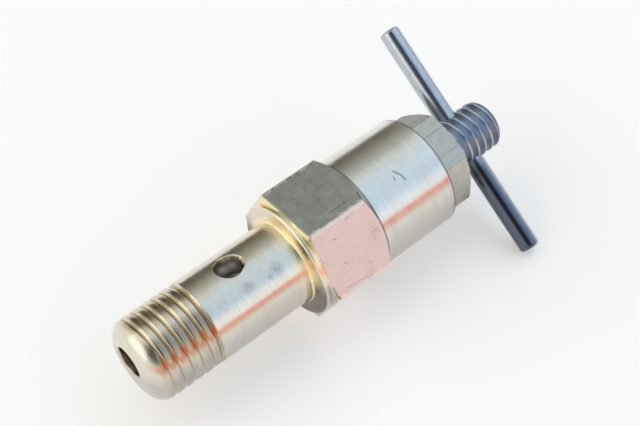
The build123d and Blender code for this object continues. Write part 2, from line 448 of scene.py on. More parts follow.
def hexagon_rows(s, theta):
    """Rows of the body's hexagon: front bevel, flats and rear cone.
    The rounding of the corners is uneven along them. The flats end on the cone that is turned on the rear
    corners, whose radius falls evenly from the sharp corner's to the barrel's."""
    along = np.linspace(0, 1, HEX_ROWS)[:, None]
    wave = ripple(along * (s.hex_end_x - s.hex_x) + WEAR_SHIFT * theta.round(), WEAR_STEP)
    flats = hex_radius(theta, HEX_AF, 0.0, s.hex_edge * (1 + s.hex_wear * wave))
    sharp = hex_radius(theta, HEX_AF, 0.0, s.hex_edge)
    rear = (sharp - s.barrel_r) / (corner_radius(HEX_AF) - s.barrel_r)
    rear_x = s.hex_end_x - s.hex_cone_len * rear
    front = flats[:1]
    cone = np.linspace(0, 1, 5)[1:-1, None]
    return [
        (s.hex_x + 0 * front, front - HEX_LIP),
        (s.hex_x + HEX_BEVEL + 0 * front, front - HEX_BEVEL),
        (s.hex_x + HEX_LIP + (rear_x - HEX_LIP - s.hex_x) * along, flats),
        (rear_x + (s.hex_end_x - rear_x) * cone, sharp + (s.barrel_r - sharp) * cone),
    ]


def body_points(s, theta):
    """Rows of the body: its outside from the nose to the rim, then its bores back to the nose.
    Apart from the spigot and the hexagon, the profile is straight lines and quarter circles, turned round the
    axis. The rows of the inlet are then moved off the axis."""
    root_x, root_r = s.collar_x - s.shank_root, s.shank_r + s.shank_root
    edge_x, edge_r = s.collar_x + s.collar_edge, s.collar_r - s.collar_edge
    rim_x, rim_r = RIM_X - s.rim_edge, s.barrel_r - s.rim_edge
    gland_x = RIM_X - s.gland_depth
    packing_x = RIM_X - s.packing_depth
    inlet_x = NOSE_X + s.inlet_depth
    mouth_x, mouth_r = NOSE_X + s.inlet_mouth, s.inlet_r + s.inlet_mouth
    shank = [
        line(s.shank_x, s.shank_r, root_x, s.shank_r, 24),
        arc(root_x, root_r, s.shank_root, -90, 0, 8),
        line(s.collar_x, root_r, s.collar_x, edge_r, 6),
        arc(edge_x, edge_r, s.collar_edge, 180, 90, 6),
        line(edge_x, s.collar_r, s.hex_x, s.collar_r, 3),
    ]
    barrel = [
        line(s.hex_end_x, s.barrel_r, rim_x, s.barrel_r, 24),
        arc(rim_x, rim_r, s.rim_edge, 90, 0, 6),
        line(RIM_X, rim_r, RIM_X, s.gland_r, 4),
    ]
    bores = [
        line(RIM_X, s.gland_r, gland_x, s.gland_r, 4),
        line(gland_x, s.gland_r, gland_x, s.packing_r, 1),
        line(gland_x, s.packing_r, packing_x, s.packing_r, 4),
        line(packing_x, s.packing_r, packing_x, s.stem_bore_r, 1),
        line(packing_x, s.stem_bore_r, s.seat_x, s.stem_bore_r, 12),
        line(s.seat_x, s.stem_bore_r, s.orifice_x, s.orifice_r, 2),
        line(s.orifice_x, s.orifice_r, inlet_x, s.orifice_r, 2),
        ([inlet_x], [s.orifice_r]),
    ]
    inlet = [
        line(inlet_x, s.inlet_r, mouth_x, s.inlet_r, 6),
        arc(mouth_x, mouth_r, s.inlet_mouth, -90, -180, 6),
        ([NOSE_X], [mouth_r]),
    ]
    on_axis = spigot_rows(s, theta) + shank + hexagon_rows(s, theta) + barrel + bores
    points = turned(on_axis + inlet, theta)
    first = sum(len(x) for x, _ in on_axis)
    points[first:, :, 1:] += s.inlet_offset * np.array([math.sin(s.inlet_turn), math.cos(s.inlet_turn)])
    return points


def port_points(s):
    """Cutter for the port, from the axis out through the shank, turned by port_turn from +Z towards +Y.
    Its radius flares by the port's edge where it leaves the shank, whose height over the port's wall is the
    root of shank_r^2 - (port_r sin psi)^2. On the collar's side the flare is ragged, as a burr that broke
    out."""
    psi = even_angles(144)
    height = np.sqrt(s.shank_r**2 - (s.port_r * np.sin(psi)) ** 2)
    off_burr = (psi - BURR_TURN + math.pi) % (2 * math.pi) - math.pi
    burr = np.exp(-((off_burr / BURR_HALF) ** 2)) * (BURR_MEAN + BURR_WAVE * ripple(psi, BURR_STEP))
    flare = s.port_edge * (1 + burr)
    x = np.stack([0 * height, height - FLARE_DEPTH * flare, height, height + CUT_PAST])
    r = s.port_r + np.stack([0 * flare, 0 * flare, flare, flare + CUT_PAST])
    up, along, side = np.moveaxis(lathe(x, r, psi), -1, 0)
    cos_p, sin_p = math.cos(s.port_turn), math.sin(s.port_turn)
    return np.stack([along, side * cos_p + up * sin_p, up * cos_p - side * sin_p], axis=-1)


def spindle_thread(s, x, theta):
    """Depth of the spindle's thread, which the nut's thread follows."""
    return thread_depth(x[:, None], theta, s.spindle_pitch, s.spindle_depth, SPINDLE_CREST, SPINDLE_PHASE)


def nut_angles(s):
    """Angles round the nut: crowded towards its corners, and at the two seams of each flat."""
    flats = s.nut_turn + HALF_SECTOR + SECTOR * np.arange(6)
    seams = np.array([[-NUT_STRIP], [NUT_STRIP]]) + np.linspace(-NUT_SEAM_SPAN, NUT_SEAM_SPAN, 9)
    near_seams = (flats[:, None, None] + seams).ravel()
    return np.unique(np.concatenate([corner_angles(48, s.nut_turn), near_seams]) % (2 * math.pi))


def nut_flats(s, theta):
    """Polar radius of the nut: a hexagon whose flats are each filed in three strips, the outer two leaning
    back by that flat's own angle, with a shallow seam between strips."""
    delta = np.abs((theta - s.nut_turn) % SECTOR - HALF_SECTOR)
    flat = ((theta - s.nut_turn) % (2 * math.pi) // SECTOR).astype(int)
    lean = np.radians(NUT_LEAN_DEG)[flat]
    side = s.nut_af / 2 * np.cos(NUT_STRIP - lean) / math.cos(NUT_STRIP) / np.cos(delta - lean)
    seam = NUT_SEAM * np.exp(-(((delta - NUT_STRIP) / NUT_SEAM_HALF) ** 2))
    return np.minimum(hex_radius(theta, s.nut_af, s.nut_turn, s.nut_edge), side) - seam


def nut_points(s, theta):
    """Rows of the gland nut: tail, hexagon and end face outside, then its threaded bore back to the tail.
    The end's cone starts where the flats' radius reaches it, on a slightly wavy line. The bore's radius is
    the spindle's plus the gap, less the thread's depth."""
    hexagon = nut_flats(s, theta)[None]
    reach = (hexagon - s.nut_end_r) / (corner_radius(s.nut_af) - s.nut_end_r)
    cone_len = s.nut_cone_len * np.maximum(reach, NUT_CONE_LEAST)
    far_x = NUT_END_X - cone_len - NUT_WAVE * ripple(theta, NUT_WAVE_STEP)
    along = np.linspace(0, 1, 8)[:, None]
    cone = np.linspace(0, 1, 5)[1:, None]
    bore_r = SPINDLE_R + s.screw_gap
    bore_x = np.arange(NUT_END_X, NUT_TAIL_X, -s.spindle_pitch / NUT_BORE_ROWS)
    return turned([
        line(NUT_TAIL_X, bore_r, NUT_TAIL_X, s.nut_tail_r, 3),
        line(NUT_TAIL_X, s.nut_tail_r, RIM_X, s.nut_tail_r, 4),
        (RIM_X + 0 * hexagon, hexagon - s.nut_edge),
        (RIM_X + s.nut_edge + (far_x - s.nut_edge - RIM_X) * along, hexagon + 0 * along),
        (far_x + (NUT_END_X - far_x) * cone, hexagon + (s.nut_end_r - NUT_END_EDGE - hexagon) * cone),
        line(NUT_END_X, s.nut_end_r - NUT_END_FLAT, NUT_END_X, bore_r, 6),
        (bore_x, bore_r - spindle_thread(s, bore_x, theta)),
    ], theta)


def spindle_points(s, theta):
    """Rows of the spindle: socket lip, smooth stem, thread and domed end.
    From the thread on, the radius is the outline's, a cone at 45 degrees, a cylinder and a quarter circle, or
    the spindle's less the thread's depth where that is smaller."""
    dome_x, dome_r = SPINDLE_END_X - s.spindle_dome, SPINDLE_R - s.spindle_dome
    crimp_x = STEM_END_X + s.crimp_len
    thread_x = np.arange(s.spindle_thread_x, dome_x, s.spindle_pitch / SPINDLE_ROWS)
    bend_x, bend_r = arc(dome_x, dome_r, s.spindle_dome, 90, 0, 40)
    lead_in = np.minimum(s.stem_r + thread_x - s.spindle_thread_x, SPINDLE_R)
    x = np.concatenate([thread_x, bend_x])
    outline = np.concatenate([lead_in, bend_r])[:, None]
    return turned([
        line(STEM_END_X, s.crimp_r, crimp_x, s.stem_r, 2),
        line(crimp_x, s.stem_r, s.spindle_thread_x, s.stem_r, 8),
        (x, np.minimum(outline, SPINDLE_R - spindle_thread(s, x, theta))),
        line(SPINDLE_END_X, dome_r, SPINDLE_END_X, END_DISC, 6),
    ], theta)


def bar_direction(s):
    """Direction of the tommy bar's upper half."""
    return (0.0, math.sin(s.bar_turn), math.cos(s.bar_turn))


def bar_points(s, theta):
    """Rows of the bar, worked out along X: a cylinder with flat ends and a quarter circle at each edge."""
    half, edge_r = s.bar_len / 2, BAR_R - s.bar_edge
    edge_x = half - s.bar_edge
    return turned([
        line(-half, END_DISC, -half, edge_r, 4),
        arc(-edge_x, edge_r, s.bar_edge, 180, 90, 8),
        line(-edge_x, BAR_R, edge_x, BAR_R, 40),
        arc(edge_x, edge_r, s.bar_edge, 90, 0, 8),
        line(half, edge_r, half, END_DISC, 4),
    ], theta)


# Materials

# Masks of the turned brass, each a product of fades. A fade is a measure, the station that it is counted
# from, and where it is 0 and 1: millimetres for x and radius, shares of the radius for side and height,
# shares of the thread's depth for sunk, turns for off_patch
TURNED_MASKS = {
    "thread": (("x", "thread", -1.4, -0.4), ("x", "shank", 0.1, -0.2)),
    "flank": (("sunk", "axis", 0.1875, 0.5),),
    "groove": (("sunk", "axis", 0.35, 0.85),),
    # Painted reflections: a warm tint on the thread's near side, and dark ovals on it
    "warm_reflection": (("side", "axis", -0.22, -0.46), ("side", "axis", -0.98, -0.74)),
    "reflection_ovals": (("side", "axis", -0.06, 0.10), ("side", "axis", 0.46, 0.26)),
    # Painted reflection: red patches on the thread's near side
    "red_reflection": (
        ("uneven_side", "axis", -0.66, -0.78),
        ("uneven_side", "axis", -0.90, -0.80),
        ("off_patch", "axis", 0.38, 0.20),
    ),
    # Painted reflection: golden at the collar's root and on the shank's far side, and a painted highlight on
    # the collar's upper rim
    "root": (("x", "collar", -2.6, -0.1), ("radius", "shank_r", 1.6, 0.2)),
    "root_glow": (("x", "collar", -6.5, -1.5), ("side", "axis", 0.0, 0.6), ("x", "collar", -0.05, -0.3)),
    "rim_glow": (("x", "collar", 0.02, 0.15), ("x", "hexagon", 0.1, 0.0), ("height", "axis", 0.1, 0.5)),
    # Painted shade: darker towards the underside
    "low": (("uneven_height", "axis", 0.62, 0.05),),
    # Painted shade on the lower half of the collar's seat, and on the hexagon's rear cone
    "seat": (("x", "collar", -0.2, -0.02), ("x", "collar", 0.2, 0.05), ("height", "axis", 0.35, -0.05)),
    "cone": (("x", "barrel", -1.7, -1.5), ("x", "barrel", 0.22, 0.04)),
    "barrel": (("x", "barrel", -0.1, 0.1),),
    # Painted shade: a dark band on the barrel next to its rim, where the nut meets it
    "line": (("x", "rim", -0.36, -0.16),),
    "bore": (("radius", "axis", 4.4, 3.8), ("x", "nose", 0.04, 0.2)),
}
ON_THREAD = ("flank", "groove", "warm_reflection", "reflection_ovals", "red_reflection")

# How far noise breaks the edges that follow the side or the height
SIDE_NOISE = 0.15
HEIGHT_NOISE = 0.5

# Other fades: of noise, of a cosine (flat, the spindle's side with painted shade), of degrees (seam), of bar
# radii (bar side), and of millimetres from a station
FADES = {
    "nick": (0.66, 0.72),
    "stain": (0.5, 0.75),
    "smudge": (0.3, 0.75),
    "blotch": (0.42, 0.72),
    "patch": (0.5, 0.72),
    "broken mark": (0.3, 0.5),
    "worn corner": (0.22, 0.34),
    "flat": (-0.006, 0.006),
    "seam": (1.4, 0.42),
    "spindle thread": (-0.2, 0.0),
    "rubbed crest": (-0.13, -0.06),
    # Painted shade on one side of the spindle's thread, and its end darker
    "shaded side": (0.80, 0.95),
    "dark end": (-2.0, -0.6),
    # Painted shade on the bar's half below the spindle
    "lower shade": (-2.0, -6.0),
    "bar side": (0.5, -0.1),
}

# The place in a turn of the thread of the patch of painted red reflection, whole turns that keep a count
# above 0, and the turn of the spindle's side with painted shade
RED_REFLECTION_TURN = 0.42
TURNS_AHEAD = 20
SHADED_SIDE_TURN = math.radians(188)

# Shares: how dark the streaks of a dulled flat are, and how much of a stroke's width is full
DULL_STREAK = 0.66
STROKE_CORE = 0.3

# Marks, in millimetres: a stroke's two ends and its half width, a smudge's centre and radius
TURNED_STROKES = (
    ((26.40, -3.38, 8.02), (26.95, -4.14, 7.65), 0.24),
    ((26.95, -4.14, 7.65), (27.18, -4.98, 7.13), 0.22),
    ((25.88, -3.94, 7.76), (25.82, -4.39, 7.51), 0.16),
    # Painted shade: the dark wedge at the hexagon's front corner
    ((9.80, -9.15, 2.20), (9.80, -10.25, 0.20), 0.26),
)
FLAT_STROKES = (
    ((14.45, -3.61, 9.05), (15.10, -3.66, 9.05), 0.07),
    ((15.55, -3.68, 9.05), (16.50, -3.70, 9.05), 0.06),
    ((17.10, -3.66, 9.05), (17.45, -3.72, 9.05), 0.15),
    ((19.60, -3.60, 9.05), (19.40, -4.70, 9.05), 0.20),
    ((12.90, -6.34, 7.12), (13.05, -6.40, 7.00), 0.14),
    ((15.60, -5.60, 8.40), (17.20, -5.50, 8.55), 0.07),
    # Painted shade: the dark wedge at the hexagon's front corner
    ((9.86, -9.40, 1.90), (9.90, -10.05, 0.70), 0.22),
    ((9.90, -10.05, 0.70), (10.15, -10.35, 0.25), 0.30),
    ((11.60, -9.95, 0.90), (15.40, -10.15, 0.55), 0.06),
    ((13.00, -8.20, 3.90), (13.25, -8.50, 3.40), 0.10),
    ((16.40, -9.30, 2.00), (16.70, -9.40, 1.80), 0.09),
)
SMUDGES = (((4.9, -3.6, 5.2), 1.5), ((0.2, -3.5, 5.3), 1.3), ((3.6, -4.0, 4.9), 0.8))


def add_node(tree, kind, inputs=(), **settings):
    """A new node with its settings, and links or values for its inputs in order, None for one left alone."""
    node = tree.nodes.new(kind)
    for key, value in settings.items():
        setattr(node, key, value)
    for socket, value in zip(node.inputs, inputs):
        if isinstance(value, bpy.types.NodeSocket):
            tree.links.new(value, socket)
        elif value is not None:
            socket.default_value = value
    return node


def calc(tree, operation, *values):
    """Output of a Math node."""
    return add_node(tree, "ShaderNodeMath", values, operation=operation).outputs[0]


def times(tree, product, *values):
    """Product of values, each a link or a number."""
    for value in values:
        product = calc(tree, "MULTIPLY", product, value)
    return product


def vector_calc(tree, operation, *values):
    """Output of a Vector Math node: a number for a dot product or a distance, and otherwise a vector."""
    node = add_node(tree, "ShaderNodeVectorMath", values, operation=operation)
    return node.outputs["Value" if operation in ("DOT_PRODUCT", "DISTANCE") else "Vector"]


def scaled(tree, vector, factor):
    """A vector times a number."""
    return vector_calc(tree, "SCALE", vector, None, None, factor)


def range_of(tree, value, low, high):
    """value from 0..1 carried to low..high."""
    return calc(tree, "MULTIPLY_ADD", value, high - low, low)


def ramp(tree, value, low, high):
    """Smooth step of value from 0 at low to 1 at high."""
    limits = (value, low, high, 0.0, 1.0)
    return add_node(tree, "ShaderNodeMapRange", limits, interpolation_type="SMOOTHSTEP").outputs[0]


def fade(tree, value, name, station=0.0):
    """The named fade of value, counted from a station."""
    low, high = FADES[name]
    return ramp(tree, value, station + low, station + high)


def blend(tree, factor, first, second):
    """Mix of two colours, each a link or a plain colour."""
    node = add_node(tree, "ShaderNodeMix", (factor,), data_type="RGBA")
    colour_inputs = [i for i in node.inputs if i.type == "RGBA"]
    for socket, value in zip(colour_inputs, (first, second)):
        if isinstance(value, bpy.types.NodeSocket):
            tree.links.new(value, socket)
        else:
            socket.default_value = (*value, 1)
    return [o for o in node.outputs if o.type == "RGBA"][0]


def paint(tree, tint, layers):
    """The tint with layers over it in turn, each a mask, its strength and a colour."""
    for mask, strength, layer in layers:
        tint = blend(tree, times(tree, mask, strength), tint, layer)
    return tint


def noise(tree, vector, scale, detail, rough):
    """Value of a Noise Texture at a vector."""
    node = add_node(tree, "ShaderNodeTexNoise", (vector,), normalize=True)
    for label, value in (("Scale", scale), ("Detail", detail), ("Roughness", rough)):
        node.inputs[label].default_value = value
    return node.outputs["Fac"]


def object_place(tree):
    """Object coordinates, in metres."""
    return add_node(tree, "ShaderNodeTexCoord").outputs["Object"]


def parts_of(tree, vector):
    """The x, y and z of a vector."""
    return add_node(tree, "ShaderNodeSeparateXYZ", (vector,)).outputs


def axis_place(tree):
    """Object place in millimetres: x along the axis, radius, and y and z over the radius."""
    x, y, z = (times(tree, part, 1 / MM) for part in parts_of(tree, object_place(tree)))
    radius = calc(tree, "SQRT", calc(tree, "ADD", times(tree, y, y), times(tree, z, z)))
    return x, radius, calc(tree, "DIVIDE", y, radius), calc(tree, "DIVIDE", z, radius)


def fill_rings(group, entry, leave):
    """Turning marks: noise that changes quickly along the axis and on faces along the radius, and slowly
    round it."""
    x, radius, cos_t, sin_t = axis_place(group)
    along = calc(group, "ADD", x, radius)
    for label, scale, round_scale in (("Fine", 1.0, 1.0), ("Broad", 0.22, 0.5)):
        place = add_node(group, "ShaderNodeCombineXYZ", (
            times(group, along, entry["Lines"], scale),
            times(group, cos_t, entry["Round"], round_scale),
            times(group, sin_t, entry["Round"], round_scale),
        ))
        group.links.new(noise(group, place.outputs[0], 1.0, 3.0, 0.6), leave[label])


def fill_streaks(group, entry, leave):
    """Drawing marks along the axis, short dark nicks in the same direction, and patches."""
    place = object_place(group)
    x, y, z = parts_of(group, place)
    along = times(group, entry["Along"], 1 / MM)
    across = times(group, entry["Across"], 1 / MM)
    stretched = add_node(group, "ShaderNodeCombineXYZ", (
        times(group, x, along),
        times(group, y, across),
        times(group, z, across),
    )).outputs[0]
    group.links.new(noise(group, stretched, 1.0, 4.0, 0.65), leave["Streak"])
    group.links.new(fade(group, noise(group, stretched, 2.3, 1.0, 0.4), "nick"), leave["Nick"])
    group.links.new(noise(group, place, 0.35 / MM, 4.0, 0.6), leave["Patch"])


def fill_specks(group, entry, leave):
    """Fine grain and soft stains."""
    place = object_place(group)
    fine = scaled(group, place, times(group, entry["Grain"], 1 / MM))
    wide = scaled(group, place, times(group, entry["Spread"], 1 / MM))
    group.links.new(noise(group, fine, 1.0, 2.0, 0.5), leave["Grain"])
    group.links.new(fade(group, noise(group, wide, 1.0, 3.0, 0.6), "stain"), leave["Stain"])


# Shared node groups: what fills one, its inputs in lines or spots to a millimetre, and its outputs
SHARED = {
    "Turning rings": (fill_rings, ("Lines", "Round"), ("Fine", "Broad")),
    "Drawn streaks": (fill_streaks, ("Across", "Along"), ("Streak", "Nick", "Patch")),
    "Grain and stains": (fill_specks, ("Grain", "Spread"), ("Grain", "Stain")),
}


def shared_group(name):
    """The shader node group of that name with float sockets, built on first use."""
    group = bpy.data.node_groups.get(name)
    if group:
        return group
    fill, inputs, outputs = SHARED[name]
    group = bpy.data.node_groups.new(name, "ShaderNodeTree")
    for labels, in_out in ((inputs, "INPUT"), (outputs, "OUTPUT")):
        for label in labels:
            group.interface.new_socket(label, in_out=in_out, socket_type="NodeSocketFloat")
    fill(group, group.nodes.new("NodeGroupInput").outputs, group.nodes.new("NodeGroupOutput").inputs)
    return group


def put_group(tree, name, **values):
    """Outputs of a node of that shared group, with its input values set."""
    node = add_node(tree, "ShaderNodeGroup", node_tree=shared_group(name))
    for label, value in values.items():
        node.inputs[label].default_value = value
    return node.outputs


def shader(name, metallic, roughness):
    """A material with its Principled shader, plain values set on the shader itself."""
    material = bpy.data.materials.new(name)
    material.use_nodes = True
    principled = material.node_tree.nodes["Principled BSDF"]
    principled.inputs["Metallic"].default_value = metallic
    principled.inputs["Roughness"].default_value = roughness
    return material, material.node_tree, principled


def feed(tree, principled, links):
    """Links values to the shader's named inputs."""
    for label, value in links.items():
        tree.links.new(value, principled.inputs[label])


def add_bump(tree, principled, height, distance):
    """Bump of that height, whose full step is distance."""
    bump = add_node(tree, "ShaderNodeBump")
    bump.inputs["Strength"].default_value = 1.0
    bump.inputs["Distance"].default_value = distance
    tree.links.new(height, bump.inputs["Height"])
    tree.links.new(bump.outputs[0], principled.inputs["Normal"])


def stroke_mask(tree, strokes):
    """Mask of short marks: 1 near the line between a stroke's two ends, 0 past its half width."""
    place = object_place(tree)
    mask = 0.0
    for start, end, half in strokes:
        along = (Vector(end) - Vector(start)) * MM
        away = vector_calc(tree, "SUBTRACT", place, Vector(start) * MM)
        share = vector_calc(tree, "DOT_PRODUCT", away, along / along.length_squared)
        share = add_node(tree, "ShaderNodeClamp", (share, 0.0, 1.0)).outputs[0]
        gap = vector_calc(tree, "DISTANCE", away, scaled(tree, along, share))
        mask = calc(tree, "MAXIMUM", mask, ramp(tree, gap, half * MM, STROKE_CORE * half * MM))
    return mask


def smudge_mask(tree, smudges):
    """Mask of round soft patches, each 1 at its centre and 0 at its radius."""
    place = object_place(tree)
    mask = 0.0
    for centre, radius in smudges:
        gap = vector_calc(tree, "DISTANCE", place, Vector(centre) * MM)
        mask = calc(tree, "MAXIMUM", mask, ramp(tree, gap, radius * MM, 0.0))
    return mask


def off_patch(s, tree, x, side, height):
    """How far a place on the spigot's thread is from the patch of painted red reflection of its turn, in
    turns.
    """
    theta = calc(tree, "ARCTAN2", height, side)
    turn = calc(tree, "MULTIPLY_ADD", theta, -0.5 / math.pi, TURNS_AHEAD - SPIGOT_PHASE)
    turn = calc(tree, "FRACT", calc(tree, "MULTIPLY_ADD", x, MM / s.spigot_pitch, turn))
    return calc(tree, "ABSOLUTE", calc(tree, "SUBTRACT", turn, RED_REFLECTION_TURN))


def turned_masks(s, tree, uneven):
    """The masks of the turned brass by name. uneven is noise that breaks some of their edges."""
    x, radius, side, height = axis_place(tree)
    measures = {
        "x": x,
        "radius": radius,
        "side": side,
        "height": height,
        "uneven_side": calc(tree, "MULTIPLY_ADD", uneven, SIDE_NOISE, side),
        "uneven_height": calc(tree, "MULTIPLY_ADD", uneven, HEIGHT_NOISE, height),
        "sunk": calc(tree, "MULTIPLY_ADD", radius, -MM / s.spigot_depth, s.spigot_r / s.spigot_depth),
        "off_patch": off_patch(s, tree, x, side, height),
    }
    stations = {
        "axis": 0.0,
        "nose": NOSE_X / MM,
        "thread": (NOSE_X + s.nose_radius) / MM,
        "shank": s.shank_x / MM,
        "shank_r": s.shank_r / MM,
        "collar": s.collar_x / MM,
        "hexagon": s.hex_x / MM,
        "barrel": s.hex_end_x / MM,
        "rim": RIM_X / MM,
    }
    masks = {}
    for name, fades in TURNED_MASKS.items():
        masks[name] = times(tree, *(
            ramp(tree, measures[measure], stations[station] + low, stations[station] + high)
            for measure, station, low, high in fades
        ))
    for name in ON_THREAD:
        masks[name] = times(tree, masks[name], masks["thread"])
    # The painted golden reflection and highlight join the root's mask
    for name in ("root_glow", "rim_glow"):
        masks["root"] = calc(tree, "MAXIMUM", masks["root"], masks[name])
    return masks


def turned_brass(s, c):
    """Pale turned brass: fine rings, a painted golden reflection round the collar's root and a painted
    highlight on its rim, brown in the thread's grooves, painted warm, red and dark reflections on the thread,
    painted shade below, on the collar's lower seat, on the rear cone and next to the rim, dark in the bores,
    with soft smudges on the shank, a curved scratch on the barrel and a stroke of painted shade at the
    hexagon's front corner."""
    material, tree, principled = shader("turned brass", 1.0, 0.2)
    ring = put_group(tree, "Turning rings", Lines=5.0, Round=2.2)
    spot = put_group(tree, "Grain and stains", Grain=6.0, Spread=0.4)
    mask = turned_masks(s, tree, calc(tree, "SUBTRACT", ring["Broad"], 0.5))
    low, thread = mask["low"], mask["thread"]
    smudge = times(tree, smudge_mask(tree, SMUDGES), fade(tree, spot["Grain"], "smudge"))
    mark = stroke_mask(tree, TURNED_STROKES)
    tint = paint(tree, tuple(c.brass), (
        (mask["barrel"], 1.0, c.brass_cool),
        (range_of(tree, ring["Fine"], -0.35, 0.8), 0.5, c.brass_dark),
        # Painted shade below
        (low, 0.9, c.brass_shade_below),
        (times(tree, thread, low), 0.8, c.thread_shade_below),
        # Painted golden reflection and highlight
        (mask["root"], 0.9, c.brass_root_reflection),
        (thread, range_of(tree, low, 0.35, 0.0), c.brass_gold),
        # Painted warm reflection
        (mask["warm_reflection"], 0.85, c.thread_warm_reflection),
        (mask["flank"], range_of(tree, low, 0.55, 0.1), c.brass_gold),
        # Painted dark reflection
        (mask["reflection_ovals"], 0.85, c.thread_warm_reflection),
        (mask["groove"], range_of(tree, low, 0.9, 0.5), c.brass_groove),
        # Painted red reflection
        (mask["red_reflection"], 0.85, c.thread_red_reflection),
        (spot["Stain"], 0.15, c.brass_dark),
        (times(tree, low, spot["Stain"]), 0.25, c.brass_gold),
        # Painted shade on the rear cone and on the collar's lower seat
        (mask["cone"], 0.75, c.seat_and_cone_shade),
        (mask["seat"], 0.9, c.seat_and_cone_shade),
        (mask["bore"], 0.9, c.bore),
        (smudge, 0.75, c.smudge),
        # Painted shade next to the barrel's rim; the marks hold a stroke of painted shade at the hexagon's
        # front corner
        (mask["line"], 0.75, c.grime_and_shade),
        (mark, 0.48, c.grime_and_shade),
    ))
    rough = range_of(tree, ring["Broad"], 0.10, 0.30)
    worn = calc(tree, "MAXIMUM", calc(tree, "MAXIMUM", mark, smudge), mask["line"])
    for duller, amount in ((worn, 0.2), (thread, 0.05), (mask["root"], 0.07)):
        rough = calc(tree, "MULTIPLY_ADD", duller, amount, rough)
    feed(tree, principled, {"Base Color": tint, "Roughness": rough})
    relief = calc(tree, "MULTIPLY_ADD", ring["Broad"], 0.5, ring["Fine"])
    add_bump(tree, principled, calc(tree, "MULTIPLY_ADD", mark, -0.8, relief), 0.024 * MM)
    return material


def washer_brass(c):
    """Plain turned brass of the washers round the packing."""
    material, tree, principled = shader("washer brass", 1.0, 0.3)
    ring = put_group(tree, "Turning rings", Lines=6.0, Round=2.0)
    tint = blend(tree, ring["Fine"], c.brass_gold, c.brass_dark)
    feed(tree, principled, {"Base Color": tint, "Roughness": range_of(tree, ring["Broad"], 0.2, 0.4)})
    add_bump(tree, principled, ring["Fine"], 0.02 * MM)
    return material


def seam_mask(tree, turn, cos_t, sin_t):
    """Mask of the lines between a nut's filed strips, which lie NUT_STRIP_DEG from a flat's middle."""
    theta = calc(tree, "SUBTRACT", calc(tree, "ARCTAN2", sin_t, cos_t), turn)
    sector = calc(tree, "FRACT", calc(tree, "MULTIPLY_ADD", theta, 1 / SECTOR, TURNS_AHEAD))
    off_middle = calc(tree, "ABSOLUTE", calc(tree, "SUBTRACT", sector, 0.5))
    gap = calc(tree, "MULTIPLY_ADD", off_middle, math.degrees(SECTOR), -NUT_STRIP_DEG)
    return fade(tree, calc(tree, "ABSOLUTE", gap), "seam")


def toward(tree, turn, cos_t, sin_t):
    """Cosine of the angle round the axis from a turn, which is counted from +Y towards +Z."""
    return calc(tree, "ADD", times(tree, cos_t, math.cos(turn)), times(tree, sin_t, math.sin(turn)))


def facing_flat(tree, turn, cos_t, sin_t):
    """Mask of the flat of a hexagon that faces that turn."""
    return fade(tree, toward(tree, turn, cos_t, sin_t), "flat", math.cos(HALF_SECTOR))


def drawn_brass(name, c, tints, corner_r, dull_turn, wear, strokes=(), seams_turn=None):
    """Duller brass as drawn: faint streaks along the axis, a few dark marks, corners worn bright and ragged,
    one flat duller than the rest, and for a nut the lines between its filed strips. tints are the light,
    dark, warm and dull colour, and turns are from +Y towards +Z."""
    light, dark, warm, dull = tints
    material, tree, principled = shader(name, 1.0, 0.36)
    streak = put_group(tree, "Drawn streaks", Across=3.2, Along=0.25)
    spot = put_group(tree, "Grain and stains", Grain=8.0, Spread=0.5)
    _, radius, cos_t, sin_t = axis_place(tree)
    chip = noise(tree, object_place(tree), 0.9 / MM, 3.0, 0.6)
    patch = fade(tree, streak["Patch"], "patch")
    ragged = calc(tree, "MULTIPLY_ADD", chip, 0.9, radius)
    dulled = times(tree, facing_flat(tree, dull_turn, cos_t, sin_t), range_of(tree, chip, 1.15, 0.7))
    dull_dark = tuple(DULL_STREAK * v for v in dull)
    dull_tint = blend(tree, range_of(tree, streak["Streak"], -0.4, 1.2), dull, dull_dark)
    layers = [
        (range_of(tree, streak["Streak"], -0.1, 0.6), 1.0, dark),
        (fade(tree, chip, "blotch"), 0.55, warm),
        (dulled, 1.0, dull_tint),
        (patch, 0.35, dark),
        (times(tree, streak["Nick"], patch), 0.6, c.grime_and_shade),
        (fade(tree, ragged, "worn corner", corner_r / MM), wear, c.worn_edge),
    ]
    height = calc(tree, "MULTIPLY_ADD", spot["Grain"], 0.5, times(tree, streak["Streak"], 0.7))
    height = calc(tree, "MULTIPLY_ADD", chip, 1.6, height)
    if strokes:
        broken = times(tree, stroke_mask(tree, strokes), fade(tree, spot["Grain"], "broken mark"))
        layers.append((broken, 0.65, c.grime_and_shade))
        height = calc(tree, "SUBTRACT", height, broken)
    if seams_turn is not None:
        seams = times(
            tree,
            seam_mask(tree, seams_turn, cos_t, sin_t),
            facing_flat(tree, seams_turn + math.pi / 2, cos_t, sin_t),
        )
        layers.append((seams, range_of(tree, streak["Patch"], -0.15, 0.55), c.grime_and_shade))
    tint = paint(tree, tuple(light), layers)
    feed(tree, principled, {"Base Color": tint, "Roughness": range_of(tree, chip, 0.22, 0.52)})
    add_bump(tree, principled, height, 0.02 * MM)
    return material


